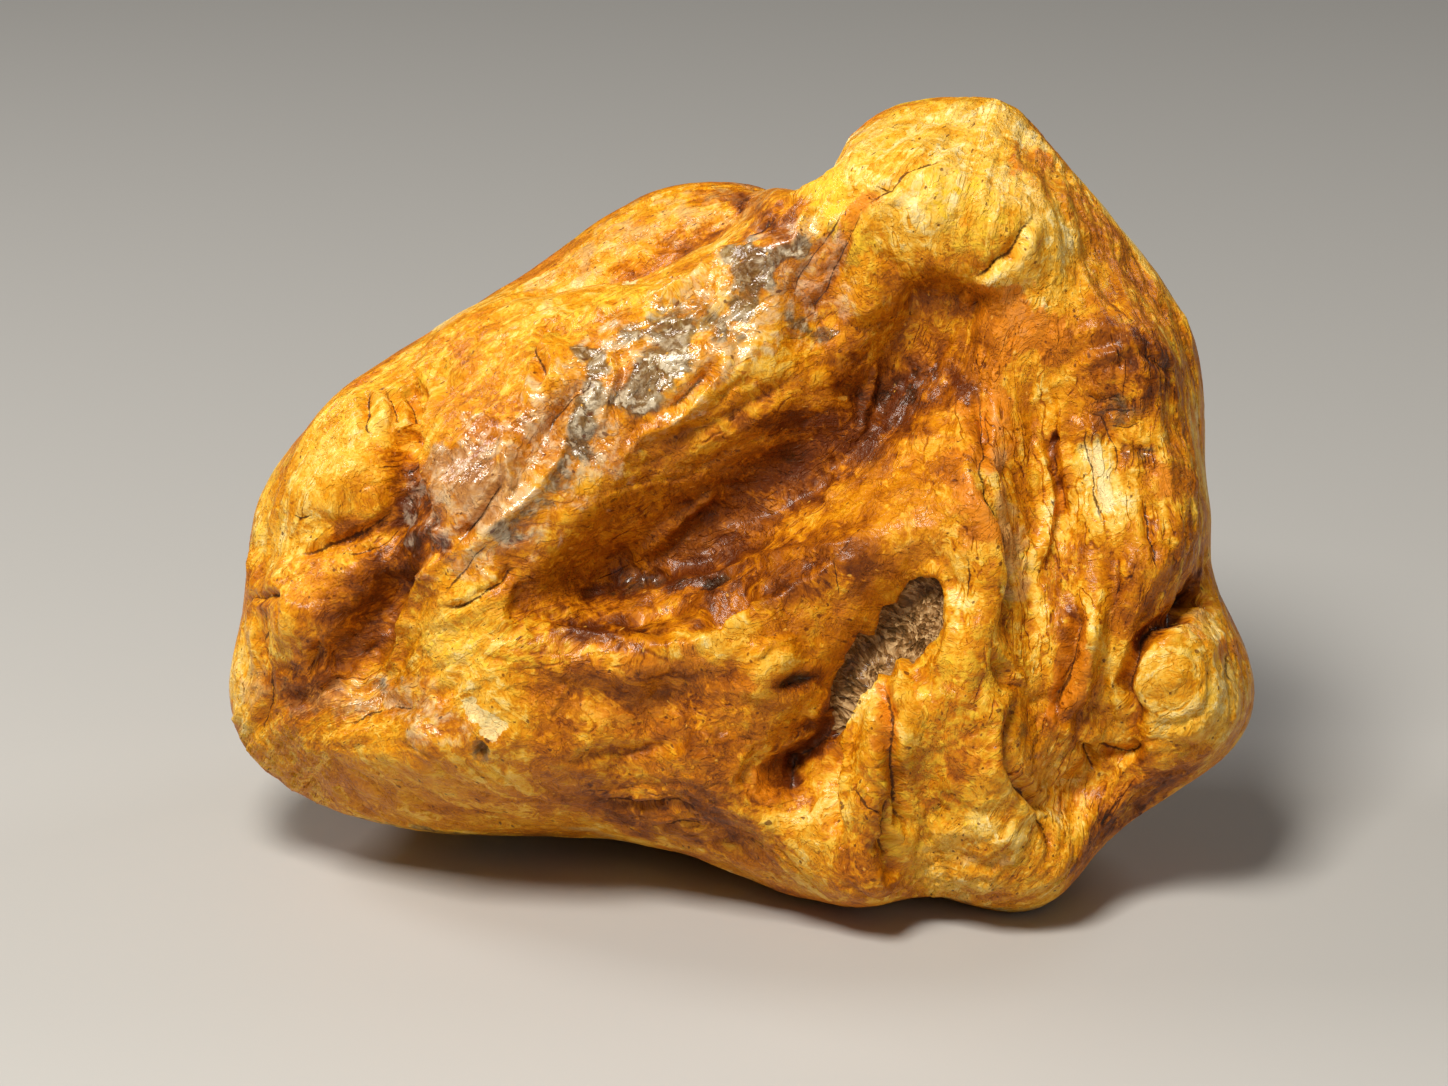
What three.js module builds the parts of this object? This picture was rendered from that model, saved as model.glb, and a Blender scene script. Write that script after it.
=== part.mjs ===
// Petrified wood: one water-worn lump of stone, 150 mm across its face, that grew as a burred piece of trunk
// and turned to stone as one solid. It is drawn in the frame of its broad face (x right, y up, z out of the
// face), leans back, and stands on worn flats under its two front feet and its keel. Millimetres, +Z up once
// it stands.
import * as THREE from "three";
import { mergeVertices } from "three/addons/utils/BufferGeometryUtils.js";
import { ImprovedNoise } from "three/addons/math/ImprovedNoise.js";

// Driving dimensions.
const LEAN_DEG = 20; // how far the face leans back from upright
const FRONT_DEPTH = 27; // from the plane of the outline to the middle of the face
const BACK_DEPTH = 46; // from the same plane to the middle of the back
const FULLNESS = 2.3; // exponent of the cross-section: 2 is an ellipse, more is boxier
const UNDERSIDE_RISE = 0.36; // slope of the underside behind the feet, near the level once the stone leans
const FOOT_DROP = 54; // from the middle of the face down to the feet
const WORN_DEPTH = 1.9; // how much of the lowest foot is worn away to a flat
const WAVE_LENGTH = 17; // spacing and height of the low swells all over
const WAVE_HEIGHT = 1.1;

// How the surface is meshed.
const MESH_DETAIL = 19; // 8,000 triangles
const FACE_CROWDING = 0.82; // under 1 draws the mesh together on the face, where the forms are finest
const OUTLINE_STEPS = 720;
const ROUNDING_DEG = 22; // the outline's corners round off over this angle towards the face and the back
const RIM_HOLD = 0.28; // forms fade out within this share of the depth, so that the outline stays as drawn

// The outline of the face, clockwise from the notch beside the head.
const OUTLINE = [
  [12.6, 48.8], [16.7, 55.6], [19.2, 60], [24.1, 63.1], [31.5, 64.6], [39.4, 64.5], [42.5, 63.7], // head
  [50, 55.5], [60, 43.7], [65.5, 36.6], [69, 31.2], [70.8, 22], // right shoulder
  [70.8, 5], [70.8, -3], [75.4, -12.4], [78.3, -21.5], [76.7, -28.5], [71.5, -33.5], // right flank and knob
  [58.1, -42.2], [52.9, -47.6], [48.5, -52.6], [44, -54.4], [38, -53.6], // right foot
  [30.7, -51.5], [24.8, -52], [18.3, -52.8], [11.7, -52.1], // middle foot
  [0, -47.4], [-7.3, -45.3], [-18, -43.7], [-33, -43.9], [-45, -42.8], [-58.8, -39.2], // underside
  [-67.2, -34], [-71.4, -28.2], [-72.3, -21], [-69.9, -9.5], [-69.2, -3], [-67.4, 7], // left flank
  [-60.6, 16.6], [-54, 22.7], [-42.2, 30.5], [-24.5, 42.3], // left shoulder
  [-15.7, 48.4], [-8.6, 52], [0, 53.1], [7, 51.8], // top
];

// How far the outline itself stands out of (above 0) or behind (below 0) its plane, by direction in degrees.
const RIM_SWAY = [
  [-180, -4], [-140, -10], [-115, -14], [-90, -5], [-70, 0.5], [-50, 2.5], [-17, -1], // underneath
  [20, -4], [58, 2], [76, -3], [90, -13], [120, -12], [150, -6], [180, -4], // on top
];

// Swells (rise above 0) and hollows (below 0) along lines on the face. reach is how far each one spreads.
const FACE_FORMS = [
  { name: "glossy crest", line: [[-38, 4], [-23, 17], [-5, 28], [9, 38]], reach: 12, rise: 7 },
  { name: "crest shoulder", line: [[-40, 22], [-22, 32]], reach: 8, rise: 2.5 },
  { name: "crest valley", line: [[12, 49], [3, 44], [-9, 41], [-23, 36]], reach: 4.5, rise: -3.2 },
  { name: "head", line: [[27, 51], [38, 47]], reach: 12, rise: 9 },
  { name: "head brow", line: [[39, 41], [54, 28]], reach: 10, rise: 4 },
  { name: "neck valley", line: [[14, 50], [18, 41], [14, 32]], reach: 5.5, rise: -4.5 },
  { name: "main hollow", line: [[-14, -3], [3, 5], [20, 15], [31, 29]], reach: 9, rise: -9 },
  { name: "hollow floor", line: [[-25, -8], [-8, -8], [6, -4]], reach: 5.5, rise: -4 },
  { name: "lip", line: [[-34, -16], [-12, -16], [2, -12], [13, -5], [24, 0]], reach: 5, rise: 3.5 },
  { name: "pale lobe", line: [[4, -18], [12, -22]], reach: 4, rise: 2.5 },
  { name: "trunk band", line: [[34, 6], [37, -12], [38, -30]], reach: 7, rise: 6 },
  { name: "right column", line: [[59, 24], [60, 4], [57, -14]], reach: 9, rise: 6 },
  { name: "column groove", line: [[45, 20], [47, 0], [46, -22]], reach: 4.5, rise: -3.5 },
  { name: "pocket", line: [[30, -7], [25.5, -15], [18.5, -23], [11, -33]], reach: 5, rise: -7 },
  { name: "flame ridge", line: [[25, -24], [22.5, -34], [19, -45]], reach: 5, rise: 4 },
  { name: "saddle", line: [[29, -36], [29, -46]], reach: 5, rise: -3 },
  { name: "middle foot", line: [[12, -44], [20, -47]], reach: 8, rise: 3 },
  { name: "right foot", line: [[40, -46], [46, -46]], reach: 9, rise: 5 },
  { name: "swirl hollow", line: [[46, -27], [48, -37]], reach: 4.5, rise: -3.5 },
  { name: "knob", line: [[68, -20], [70, -25]], reach: 9, rise: 8 },
  { name: "knob crease", line: [[66, -9], [60, -15], [58.5, -23], [60, -30], [52, -36]], reach: 4, rise: -5 },
  { name: "lower belly", line: [[-30, -28], [-6, -32]], reach: 13, rise: 6 },
  { name: "belly groove", line: [[-7, -22], [-12, -31], [2, -40]], reach: 5, rise: -2.2 },
  { name: "left cap", line: [[-57, 10], [-51, 18]], reach: 9, rise: 5 },
  { name: "left cheek", line: [[-62, -6], [-58, -12]], reach: 7, rise: 4 },
  { name: "left valley", line: [[-43, 20], [-43, 7], [-46, -5], [-51, -16], [-54, -23]], reach: 5.5, rise: -6.5 },
  { name: "left crease", line: [[-66, -2], [-54, 1], [-47, 3]], reach: 4, rise: -2.6 },
  { name: "left lower roll", line: [[-61, -31], [-44, -30]], reach: 6, rise: 3.5 },
];

// The same on the back, which is seen with x running the other way.
const BACK_FORMS = [
  { name: "top lobe", line: [[-17, 37], [-5, 38]], reach: 10, rise: 5 },
  { name: "lobe valley", line: [[-30, 26], [-6, 25], [9, 34], [12, 49]], reach: 6, rise: -5 },
  { name: "back crest", line: [[-46, 2], [-20, 12], [6, 8], [34, 22]], reach: 12, rise: 5 },
  { name: "left hollow", line: [[-43, -17], [-30, -10], [-16, -9]], reach: 8, rise: -8 },
  { name: "right hollow", line: [[-2, -19], [14, -14], [27, -2], [29, 10]], reach: 7, rise: -7 },
  { name: "back rib", line: [[-14, 4], [-7, -8], [-10, -26]], reach: 6, rise: 4 },
  { name: "back trunk", line: [[48, 38], [52, 10], [46, -20]], reach: 10, rise: 6 },
  { name: "trunk groove", line: [[36, 34], [38, 6], [33, -24]], reach: 5, rise: -4.5 },
  { name: "branch scar rim", line: [[-37, 22], [-30, 28], [-22, 22], [-29, 15], [-37, 22]], reach: 4, rise: 3.5 },
  { name: "branch scar", line: [[-31, 21], [-28, 22]], reach: 4.5, rise: -5 },
  { name: "keel", line: [[-44, -34], [-30, -36], [0, -37], [28, -38], [40, -37]], reach: 12, rise: 8.2 },
  { name: "heel", line: [[-42, -34], [-32, -36]], reach: 11, rise: 4.1 },
  { name: "right heel", line: [[28, -38], [38, -37]], reach: 11, rise: 5.8 },
  { name: "left roll", line: [[-62, 4], [-60, -16]], reach: 8, rise: 4 },
  { name: "left fold", line: [[-52, 14], [-50, -6], [-54, -22]], reach: 4.5, rise: -3.6 },
  { name: "back of knob", line: [[66, -16], [64, -26]], reach: 8, rise: 5 },
  { name: "back of head", line: [[30, 44], [40, 40]], reach: 11, rise: 5 },
];

const { clamp, mapLinear, smoothstep, degToRad, radToDeg } = THREE.MathUtils;
const noise = new ImprovedNoise();

// Reads a list of { at, value } sorted by at, with straight lines between.
function readOff(list, at) {
  const i = Math.max(1, list.findIndex((p) => p.at >= at));
  return mapLinear(at, list[i - 1].at, list[i].at, list[i - 1].value, list[i].value);
}

// Distance from the middle of the face to its outline, by direction, off a smooth closed curve.
function outlineReach() {
  const curve = new THREE.CatmullRomCurve3(
    OUTLINE.map(([x, y]) => new THREE.Vector3(x, y, 0)),
    true,
    "centripetal",
  );
  const polar = curve
    .getSpacedPoints(OUTLINE_STEPS)
    .slice(0, -1)
    .map((p) => ({ at: radToDeg(Math.atan2(p.y, p.x)), value: Math.hypot(p.x, p.y) }))
    .sort((a, b) => a.at - b.at);
  const shifted = (p, turn) => ({ at: p.at + turn, value: p.value });
  return [...polar.map((p) => shifted(p, -360)), ...polar, ...polar.map((p) => shifted(p, 360))];
}

// The same with its corners rounded off: each direction takes the mean of those around it.
function roundedReach(reach) {
  const rounded = [];
  for (let at = -180; at <= 180; at += 2) {
    let sum = 0;
    let weights = 0;
    for (let off = -2 * ROUNDING_DEG; off <= 2 * ROUNDING_DEG; off += 2) {
      const weight = Math.exp(-((off / ROUNDING_DEG) ** 2));
      sum += weight * readOff(reach, at + off);
      weights += weight;
    }
    rounded.push({ at, value: sum / weights });
  }
  return rounded;
}

const sharpReach = outlineReach();
const softReach = roundedReach(sharpReach);
const rimSway = RIM_SWAY.map(([at, value]) => ({ at, value }));

// The plain rounded lump, before its forms: the point at an angle from the middle of the face, in a direction
// around.
function plainPoint(fromFace, around) {
  const side = fromFace < Math.PI / 2 ? 1 : -1;
  const out = Math.sin(fromFace) ** (2 / FULLNESS);
  const deep = side * Math.abs(Math.cos(fromFace)) ** (2 / FULLNESS);
  const at = radToDeg(around);
  const rounding = smoothstep(Math.abs(deep), 0, 0.75);
  const reach = mapLinear(rounding, 0, 1, readOff(sharpReach, at), readOff(softReach, at));
  const depth = side > 0 ? FRONT_DEPTH : BACK_DEPTH;
  const point = new THREE.Vector3(
    out * reach * Math.cos(around),
    out * reach * Math.sin(around),
    deep * depth + readOff(rimSway, at) * out ** 2,
  );
  if (side < 0 && point.y < 0) point.y += (UNDERSIDE_RISE * deep * depth * point.y) / FOOT_DROP;
  const normal = new THREE.Vector3(
    (out * Math.cos(around)) / reach,
    (out * Math.sin(around)) / reach,
    deep / depth,
  ).normalize();
  return { point, normal, hold: smoothstep(Math.abs(deep), 0, RIM_HOLD) };
}

// The point of the plain lump over a place (x, y) on one side.
function onSide(x, y, side) {
  const around = Math.atan2(y, x);
  const share = clamp(Math.hypot(x, y) / readOff(sharpReach, radToDeg(around)), 0, 1);
  const angle = Math.asin(share ** (FULLNESS / 2));
  return plainPoint(side > 0 ? angle : Math.PI - angle, around).point;
}

// A form's line, laid on the plain lump as short straight pieces.
function laid({ line, reach, rise }, side) {
  const points = line.map(([x, y]) => onSide(x, y, side));
  const pieces = points.slice(1).map((end, i) => new THREE.Line3(points[i], end));
  return { pieces, reach, rise };
}
const forms = [...FACE_FORMS.map((f) => laid(f, 1)), ...BACK_FORMS.map((f) => laid(f, -1))];

// How far all the forms together lift the surface at a point of the plain lump.
function lift(point) {
  const nearest = new THREE.Vector3();
  let sum = 0;
  for (const { pieces, reach, rise } of forms) {
    const gaps = pieces.map((piece) => piece.closestPointToPoint(point, true, nearest).distanceTo(point));
    sum += rise * Math.exp(-((Math.min(...gaps) / reach) ** 2));
  }
  return sum;
}

// Low irregular swells all over, with smaller ones on top.
function wave(point) {
  const at = (length) => noise.noise(point.x / length, point.y / length, point.z / length);
  return WAVE_HEIGHT * (at(WAVE_LENGTH) + 0.5 * at(WAVE_LENGTH / 2.3));
}

// The finished surface point for a point of the unit sphere, in the frame of the face. The sphere is first
// drawn towards the face, in the way that keeps the shape of its triangles.
function surfacePoint(unit) {
  const even = Math.acos(clamp(unit.z, -1, 1));
  const fromFace = 2 * Math.atan(FACE_CROWDING * Math.tan(even / 2));
  const { point, normal, hold } = plainPoint(fromFace, Math.atan2(unit.y, unit.x));
  return point.addScaledVector(normal, hold * (lift(point) + wave(point)));
}

// The stone as it stands: leaning back, worn flat where it touches, over the middle of its own box.
function stoneGeometry() {
  const sphere = new THREE.IcosahedronGeometry(1, MESH_DETAIL);
  sphere.deleteAttribute("normal");
  sphere.deleteAttribute("uv");
  const geometry = mergeVertices(sphere, 1e-5);
  const places = geometry.getAttribute("position");
  const unit = new THREE.Vector3();
  for (let i = 0; i < places.count; i++) {
    const point = surfacePoint(unit.fromBufferAttribute(places, i));
    places.setXYZ(i, point.x, point.y, point.z);
  }
  geometry.rotateX(degToRad(90 - LEAN_DEG));
  geometry.computeBoundingBox();
  const { min, max } = geometry.boundingBox;
  const faceCentre = new THREE.Vector3(-(min.x + max.x) / 2, -(min.y + max.y) / 2, -(min.z + WORN_DEPTH));
  geometry.translate(...faceCentre);
  for (let i = 0; i < places.count; i++) places.setZ(i, Math.max(0, places.getZ(i)));
  geometry.computeVertexNormals();
  return { geometry, faceCentre };
}

const { geometry, faceCentre } = stoneGeometry();
const honey = new THREE.MeshStandardMaterial({ color: 0xc98a2b, roughness: 0.38, metalness: 0 });
const stone = new THREE.Mesh(geometry, honey);
stone.name = "petrified_wood";
stone.userData.faceCentre = faceCentre.toArray(); // where the middle of the face's outline comes to stand

const group = new THREE.Group();
group.add(stone);
export default group;
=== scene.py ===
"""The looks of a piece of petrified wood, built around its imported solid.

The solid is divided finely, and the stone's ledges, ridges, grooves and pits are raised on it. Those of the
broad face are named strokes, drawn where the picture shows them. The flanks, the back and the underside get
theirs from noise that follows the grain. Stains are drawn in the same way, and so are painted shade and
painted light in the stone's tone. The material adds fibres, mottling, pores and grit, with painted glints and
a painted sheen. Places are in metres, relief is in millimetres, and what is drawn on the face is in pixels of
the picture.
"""
import math
from types import SimpleNamespace

import bpy
import numpy as np
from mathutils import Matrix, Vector, noise


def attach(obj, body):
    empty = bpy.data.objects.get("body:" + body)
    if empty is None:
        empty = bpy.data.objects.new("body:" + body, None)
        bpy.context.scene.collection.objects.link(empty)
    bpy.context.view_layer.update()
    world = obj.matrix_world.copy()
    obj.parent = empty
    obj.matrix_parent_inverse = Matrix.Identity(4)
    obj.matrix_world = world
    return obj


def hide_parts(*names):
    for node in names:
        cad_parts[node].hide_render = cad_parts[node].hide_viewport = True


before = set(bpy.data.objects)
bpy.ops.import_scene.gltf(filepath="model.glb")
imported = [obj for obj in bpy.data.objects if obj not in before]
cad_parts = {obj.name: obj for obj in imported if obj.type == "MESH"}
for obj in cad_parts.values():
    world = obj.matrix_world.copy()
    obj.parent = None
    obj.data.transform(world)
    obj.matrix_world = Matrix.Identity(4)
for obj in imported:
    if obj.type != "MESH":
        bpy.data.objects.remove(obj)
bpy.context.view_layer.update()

NODE = "petrified_wood"
MM = 0.001

# The frame of the stone's broad face: where its middle stands, and how far it leans back from upright.
FACE_CENTRE = Vector((-2.998, -9.104, 49.346)) * MM
LEAN = math.radians(20)
RIGHT = Vector((1, 0, 0))
UP = Vector((0, math.sin(LEAN), math.cos(LEAN)))
OUT = Vector((0, -math.cos(LEAN), math.sin(LEAN)))

# The picture, which is taken square on to the face.
PICTURE = (1448, 1086)
FACE_PIXEL = (720, 540)  # the middle of the face in it
PIXEL = 0.146 * MM  # what one pixel spans on the face
CAMERA_DISTANCE = 0.8
SENSOR = 36

# ---- What is drawn on the face ----

# Each point is a column and a row of the picture. Widths are in pixels, heights and depths in millimetres.

# Each groove's name, half width, depth, width of the dark line at its bottom (0 for none) and points. The
# dark line is partly the crack's own dark and partly painted shade in it.
GROOVES = [
    ("hollow floor", 44, 1.7, 0, "545,600 620,575 700,535 780,480 850,420"),
    ("hollow head", 34, 1.0, 0, "850,420 900,360 930,315"),
    ("under the brow", 22, 1.4, 0, "897,305 940,302 985,322"),
    ("beside the crest", 12, 0.9, 0, "452,560 478,520 508,488 540,446 562,412 588,380"),
    ("left valley floor", 26, 1.8, 0, "410,560 400,598 372,630 345,655 315,685"),
    ("cap pocket", 17, 0.9, 0, "418,400 420,440 408,480 415,515"),
    ("below the lip", 24, 0.8, 0, "520,692 600,690 700,682 762,655"),
    ("between the pillars", 15, 1.0, 0, "1006,440 1018,500 1022,560 1016,620 1012,660"),
    ("beside the rust slot", 14, 0.8, 0, "1100,640 1090,700 1075,750"),
    ("neck slot", 6, 0.3, 1.5, "850,204 832,232 815,258 792,303"),
    ("neck slot, right", 6, 0.4, 1.5, "870,210 854,232 840,256 829,280 813,319"),
    ("crest valley", 11, 1.0, 0, "802,203 770,222 735,238 690,260 640,276 600,292 545,320"),
    ("crest crevice", 6, 0.9, 2.5, "560,318 546,330 541,352 543,376 536,396"),
    ("crest crevice, lower", 6, 0.7, 2, "590,372 586,389 571,400 556,420 549,438"),
    ("crest wrinkle", 7, 0.4, 0, "630,352 660,340 700,330 722,312"),
    ("crest wrinkle, lower", 6, 0.4, 0, "640,412 672,402 700,384 722,356"),
    ("crest wrinkle, left", 6, 0.4, 0, "640,300 610,318 590,342"),
    ("crest slit", 5, 0.7, 2, "501,478 493,495 484,508 470,530 458,545"),
    ("groove by the tan rib", 6, 0.6, 0, "716,352 706,374 690,392 664,408"),
    ("groove by the grey", 6, 0.7, 0, "618,350 622,376 614,404"),
    ("upper groove", 6, 0.6, 0, "646,316 676,310 706,300 726,282"),
    ("head crack", 5, 0.6, 3, "949,163 925,169 904,179 884,196 868,210"),
    ("head crack spur", 4, 0.3, 2, "893,190 880,186"),
    ("head crack, right", 5, 0.7, 3, "969,276 990,266 1011,250 1025,232 1036,212"),
    ("brow wrinkle", 6, 0.4, 0, "862,232 880,256 905,268"),
    ("crown wrinkle", 6, 0.35, 0, "880,150 900,138 930,132"),
    ("cap crack", 6, 0.8, 3, "289,556 308,552 325,547 340,541 358,533 378,520 398,513"),
    ("cap crack, lower", 5, 0.6, 2.5, "349,554 362,551 377,544"),
    ("cap scratch", 4, 0.2, 1.5, "292,517 303,519 312,514"),
    ("flap", 6, 0.35, 0, "338,468 326,487 316,506"),
    ("flank notch", 5, 0.8, 3, "246,598 262,597 280,598"),
    ("flank seam", 6, 0.6, 1.5, "263,601 268,637 268,696 262,740"),
    ("flute", 6, 0.8, 2.5, "374,392 368,408 365,424 374,435"),
    ("second flute", 6, 0.8, 2, "386,390 392,405 397,424"),
    ("fourth flute", 6, 0.7, 0, "420,384 426,402 424,424"),
    ("third flute", 6, 0.8, 1.5, "404,388 412,405 413,425"),
    ("ledge crack", 6, 0.7, 3, "449,598 462,606 474,600 481,592 498,580 516,564"),
    ("crack above the ledge", 5, 0.4, 2, "452,590 460,576 475,558 488,540"),
    ("lower crease", 7, 0.8, 2, "345,721 370,716 388,712 398,707 418,705"),
    ("valley foot crease", 8, 0.8, 0, "282,708 300,698 320,690 352,684"),
    ("valley stripe", 5, 0.5, 0, "318,640 313,662 305,684"),
    ("valley stripe, right", 5, 0.5, 0, "390,640 368,662 350,686"),
    ("hole under the lip", 12, 1.8, 0, "701,619 722,612 740,604 756,592"),
    ("trunk seam", 6, 1.1, 2.5,
     "979,378 980,400 985,421 983,445 980,466 988,496 998,515 1003,540 1009,566 1010,596 1006,622 "
     "1003,650"),
    ("trunk crack", 4.5, 0.6, 2.5, "1082,406 1087,430 1090,456 1094,478 1099,500 1109,532"),
    ("trunk crack, branch", 4, 0.5, 2, "1085,409 1099,416 1108,436 1116,455 1117,480"),
    ("trunk crack, right", 4, 0.5, 2, "1144,496 1147,518 1150,540 1156,552 1159,572"),
    ("trunk crack, left", 4, 0.5, 2, "965,556 969,575 968,600"),
    ("recess by the white ridge", 8, 0.5, 0, "1050,430 1056,465 1060,500 1056,540"),
    ("trunk shade", 9, 0.8, 0, "1112,540 1114,580 1112,620 1106,660"),
    ("cross crack", 4, 0.3, 2, "1086,397 1104,402 1120,397"),
    ("second cross crack", 4, 0.3, 2, "1098,411 1118,412 1138,405"),
    ("third cross crack", 4, 0.3, 1.5, "1104,424 1124,427 1142,420"),
    ("shoulder wrinkle", 7, 0.5, 0, "1062,372 1080,356 1100,344 1124,338"),
    ("shoulder wrinkle, lower", 7, 0.5, 0, "1080,385 1104,368 1140,356"),
    ("shoulder line", 5, 0.4, 1.5, "1140,350 1156,362 1174,374"),
    ("rust slot", 7, 1.6, 2.5, "1081,607 1079,635 1074,660 1065,690 1056,716"),
    ("swirl crease", 6, 1.2, 3.5, "1017,697 1008,718 1005,745 1010,770 1020,788 1038,806 1054,818"),
    ("swirl tail", 4, 0.6, 2, "1037,815 1045,828 1050,846"),
    ("knob crease", 8, 1.8, 3, "1197,573 1192,596 1168,622 1143,645 1132,668 1131,697 1142,714 1142,734"),
    ("knob crease foot", 6, 1.1, 2.5, "1142,734 1135,752 1115,751 1096,748"),
    ("knob crease tail", 5, 0.8, 2, "1096,748 1089,760 1093,775"),
    ("knob line", 4, 0.5, 2.5, "1226,652 1230,668 1232,683"),
    ("knob wrinkle", 5, 0.5, 0, "1150,715 1180,722 1210,708"),
    ("flame crack", 6.5, 1.2, 3.5,
     "883,678 888,700 895,718 893,738 889,757 892,775 898,796 904,815 910,832"),
    ("flame crack, lower", 5, 0.8, 2.5, "884,790 882,806 886,832 892,858"),
    ("flame wrinkle", 4, 0.4, 2, "860,786 869,804 877,816"),
    ("beside the flame", 10, 1.2, 0, "846,742 836,772 834,806 838,838"),
    ("pocket tail", 8, 0.8, 2, "836,716 818,738 800,754 786,768"),
    ("pocket tail, end", 6, 0.5, 2, "800,752 793,768 792,790"),
    ("tail fold", 6, 0.6, 0, "765,750 750,768 742,790"),
    ("belly crack", 5, 0.8, 3, "596,799 640,806 665,803 700,812"),
    ("belly crack, lower", 4, 0.6, 2, "652,828 680,821 704,825"),
    ("belly wrinkle", 7, 0.5, 0, "560,770 600,752 660,748 700,730"),
    ("thin crack by the lip", 4, 0.4, 1.5, "834,562 838,580 840,602"),
    ("hollow crease", 7, 0.7, 0, "528,612 570,622 619,622 660,612 700,606"),
    ("foot saddle", 12, 1.2, 0, "880,835 888,858 902,880"),
    ("left hollow wall", 7, 0.7, 0, "470,660 450,690 425,700"),
    ("lobe wrinkle", 6, 0.5, 0, "640,236 662,246 690,238 720,222 760,206"),
    ("hollow wrinkle", 8, 0.6, 0, "655,452 700,428 760,400 800,372"),
    ("hollow wrinkle, lower", 8, 0.5, 0, "760,520 810,490 850,455 880,420"),
]

# Each ridge's name, half width, height and points.
RIDGES = [
    ("crest", 32, 0.9, "620,425 690,380 750,342 808,300"),
    ("lower crest", 24, 1.3, "500,578 545,545 585,498 612,450 645,405"),
    ("neck", 18, 0.9, "828,200 845,240 862,290 868,330"),
    ("left pillar", 16, 0.9, "958,530 978,590 970,660 950,740"),
    ("middle pillar", 18, 0.7, "1078,400 1088,480 1092,560 1084,620"),
    ("pillar foot", 18, 0.6, "1040,600 1044,650 1034,700"),
    ("right pillar", 22, 0.7, "1160,440 1170,520 1160,590"),
    ("tongue of the flame", 12, 1.5, "884,700 876,740 872,780 868,830"),
    ("flame edge", 4.5, 1.0, "880,674 871,690 860,708 853,728 848,760 845,800 850,848"),
    ("finger", 5.5, 1.3, "904,660 905,674 903,692 900,712"),
    ("lip", 6, 0.7, "500,640 540,637 576,634 629,640 675,648 720,636 752,611 790,594 840,565 890,545"),
    ("lip edge", 4.5, 0.8, "722,632 744,619 757,604"),
    ("ridge in the hollow", 6, 0.9, "625,570 650,550 673,531 700,508 722,488"),
    ("ridge above the lip", 7, 0.8, "600,606 640,596 690,580 760,560 840,545 900,528"),
    ("crest edge", 5, 0.8, "572,436 536,483 497,518 457,546 434,580"),
    ("crest flake edge", 4.5, 0.8, "542,346 535,372 524,406"),
    ("rib on the crest", 5, 0.9, "509,424 505,450 508,474 503,496"),
    ("tan rib", 6, 0.8, "728,344 716,374 700,396 676,416 640,436 612,462"),
    ("second tan rib", 5, 0.5, "752,338 738,366 716,392 690,412"),
    ("rib by the grey", 5, 0.7, "604,352 612,378 606,404 592,430"),
    ("upper rib", 6, 0.8, "640,306 668,300 700,284 722,262 750,246"),
    ("rib of the lobe", 5, 0.6, "560,330 596,308 630,296 660,284"),
    ("curl on the crest", 4, 0.5, "697,302 706,308 718,298 728,282"),
    ("valley wall", 8, 1.4, "446,556 430,576 414,602 409,625 394,655 384,676"),
    ("cap edge", 5, 0.9, "424,372 440,396 443,412 439,440 435,458 437,485 442,520"),
    ("fold on the cap", 6, 0.7, "404,548 416,536 430,530 442,540"),
    ("white ridge", 5, 1.0, "1036,436 1041,462 1048,490 1048,516 1043,544 1034,580"),
    ("second white ridge", 4.5, 0.8, "1060,398 1062,436 1069,462 1070,492 1067,520"),
    ("cross ridge", 5, 0.3, "1090,391 1112,394 1134,390"),
    ("second cross ridge", 5, 0.3, "1096,405 1118,406 1142,412"),
    ("third cross ridge", 5, 0.3, "1100,419 1124,420 1144,428"),
    ("pocket wall, right", 7, 1.0, "912,562 930,566 949,594 951,630 940,662 926,690"),
    ("ridgelet", 4.5, 0.9, "750,660 764,646 780,640 794,633"),
    ("ridgelet, left", 4, 0.6, "547,714 558,700 568,685"),
    ("rib in the hollow", 4.5, 0.8, "880,362 870,398 860,438"),
    ("rib in the hollow, lower", 4.5, 0.6, "824,500 832,483 840,468"),
    ("pale lobe", 14, 1.0, "748,700 760,678 778,658 800,644"),
    ("orange lobe", 10, 0.8, "806,722 818,706 828,690"),
    ("neck glint", 4, 0.8, "816,199 805,216 796,236 790,250"),
    ("brow fold", 12, 0.4, "980,283 1010,272 1045,250"),
    ("cap roll", 15, 1.1, "356,448 340,484 330,520"),
    ("petal", 9, 0.8, "380,396 382,412 378,428"),
    ("second petal", 8, 0.7, "400,392 406,412 402,436"),
    ("cheek roll", 16, 0.9, "300,590 290,630 296,670"),
    ("knob crown", 18, 0.5, "1160,655 1190,645 1220,655"),
    ("swirl lip", 6, 0.8, "1030,700 1052,722 1078,736"),
    ("foot fold", 12, 0.8, "925,838 960,826 1000,835 1030,850"),
]

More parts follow.
